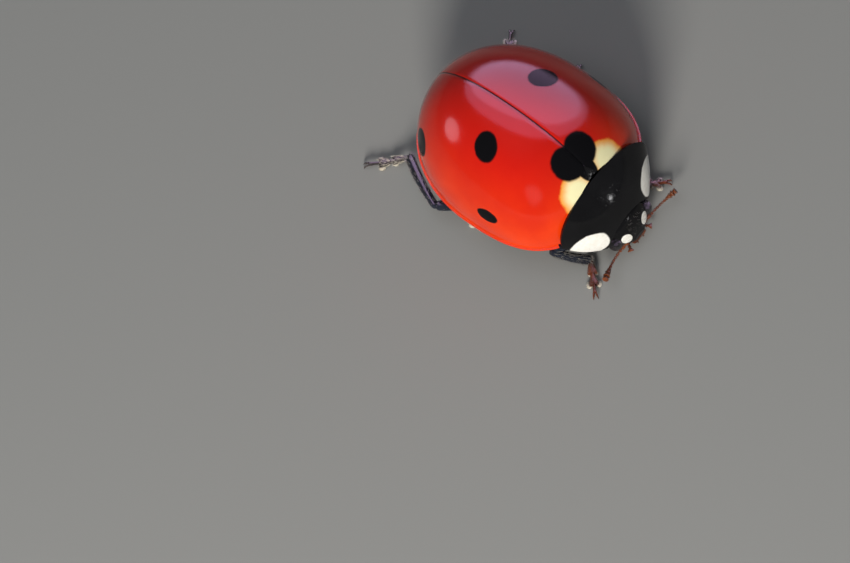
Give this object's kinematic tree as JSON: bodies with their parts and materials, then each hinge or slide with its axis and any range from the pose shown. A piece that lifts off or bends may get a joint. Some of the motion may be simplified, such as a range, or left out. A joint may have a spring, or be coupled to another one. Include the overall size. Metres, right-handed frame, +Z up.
{
  "type": "seven-spot ladybird",
  "caption": "Life-size ladybird beetle standing on its six feet, wing cases closed, feelers held out to the sides.",
  "frame": {"origin": "on the floor under the middle of the standing beetle", "axes": "+Z up, -Y the way the beetle faces, +X to its left"},
  "size_m": [0.0062, 0.0085, 0.0044],
  "materials": {
    "wing_case": "glossy orange-red shell with black spots",
    "black_shell": "glossy black shell with ivory-white marks",
    "black_underside": "satin black cuticle with fine pale down",
    "compound_eye": "polished black with fine facets",
    "brown_horn": "semi-gloss reddish brown horn",
    "black_leg": "satin blue-black with pale hairs",
    "brown_foot": "satin dark brown with pale pads"
  },
  "bodies": {
    "root": {"elytron_left": "wing_case", "elytron_right": "wing_case", "scutellum": "black_shell", "pronotum": "black_shell", "prothorax": "black_underside", "thorax": "black_underside", "abdomen": "black_underside", "head": "black_shell", "mouth": "brown_horn", "eye_left": "compound_eye", "palp_left": "brown_horn", "antenna_left": "brown_horn", "eye_right": "compound_eye", "palp_right": "brown_horn", "antenna_right": "brown_horn", "femur_front_left": "black_leg", "tibia_front_left": "black_leg", "tarsus_front_left": "brown_foot", "femur_middle_left": "black_leg", "tibia_middle_left": "black_leg", "tarsus_middle_left": "brown_foot", "femur_hind_left": "black_leg", "tibia_hind_left": "black_leg", "tarsus_hind_left": "brown_foot", "femur_front_right": "black_leg", "tibia_front_right": "black_leg", "tarsus_front_right": "brown_foot", "femur_middle_right": "black_leg", "tibia_middle_right": "black_leg", "tarsus_middle_right": "brown_foot", "femur_hind_right": "black_leg", "tibia_hind_right": "black_leg", "tarsus_hind_right": "brown_foot"}
  },
  "joints": []
}
